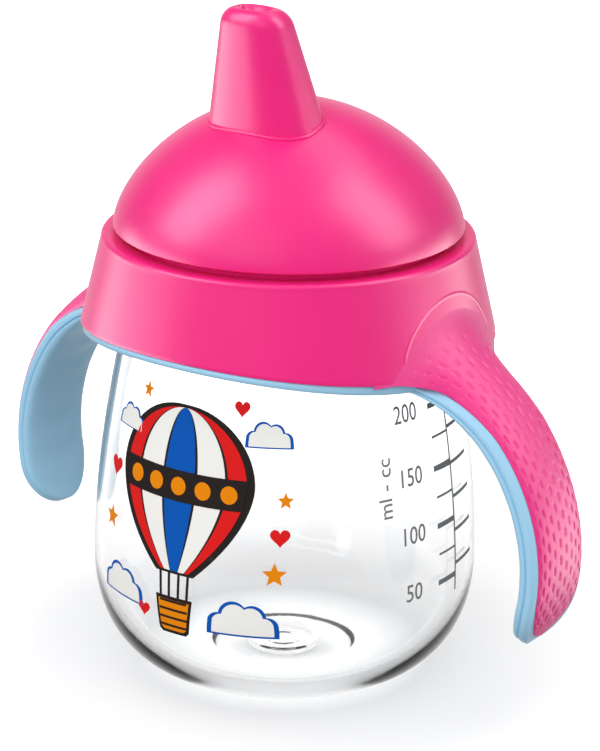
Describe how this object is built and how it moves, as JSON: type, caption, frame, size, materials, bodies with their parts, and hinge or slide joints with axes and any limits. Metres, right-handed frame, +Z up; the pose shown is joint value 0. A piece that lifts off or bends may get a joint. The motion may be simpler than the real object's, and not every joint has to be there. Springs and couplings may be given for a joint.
{
  "type": "sippy cup",
  "caption": "Child's trainer cup: clear rounded beaker, screw-on collar with curved grip handles, domed lid with a leaning drinking spout and a pull-out valve.",
  "frame": {"origin": "centre of the face that the cup stands on", "axes": "+Z up along the cup's axis, handles along +X and -X, the spout leans towards -Y"},
  "size_m": [0.131, 0.08, 0.1348],
  "materials": {
    "clear_plastic": "clear polished plastic",
    "blue_plastic": "satin light blue",
    "pink_plastic": "satin gloss pink",
    "pink_grip": "soft satin pink",
    "white_plastic": "satin white",
    "silicone": "translucent satin"
  },
  "bodies": {
    "cup": {"cup_body": "clear_plastic"},
    "lid": {"spout_lid": "pink_plastic", "lid_seal": "silicone"},
    "ring": {"handle_ring": "blue_plastic", "collar_cover": "pink_plastic", "grip_left": "pink_grip", "grip_right": "pink_grip"},
    "valve": {"valve_body": "white_plastic", "drink_disc": "silicone", "vent_disc": "silicone"}
  },
  "joints": [
    {"name": "lid_rise", "type": "slide", "parent": "cup", "child": "lid", "axis": [0, 0, 1], "range_m": [0, 0.0075]},
    {"name": "ring_turn", "type": "hinge", "parent": "lid", "child": "ring", "pos_m": [0, 0, 0.08], "axis": [0, 0, 1], "range_deg": [0, 540]},
    {"name": "valve_pull", "type": "slide", "parent": "lid", "child": "valve", "axis": [0, 0, -1], "range_m": [0, 0.02]}
  ],
  "couplings": [
    {"joint": "lid_rise", "follows": "ring_turn", "m_per_rad": 0.00079577}
  ]
}
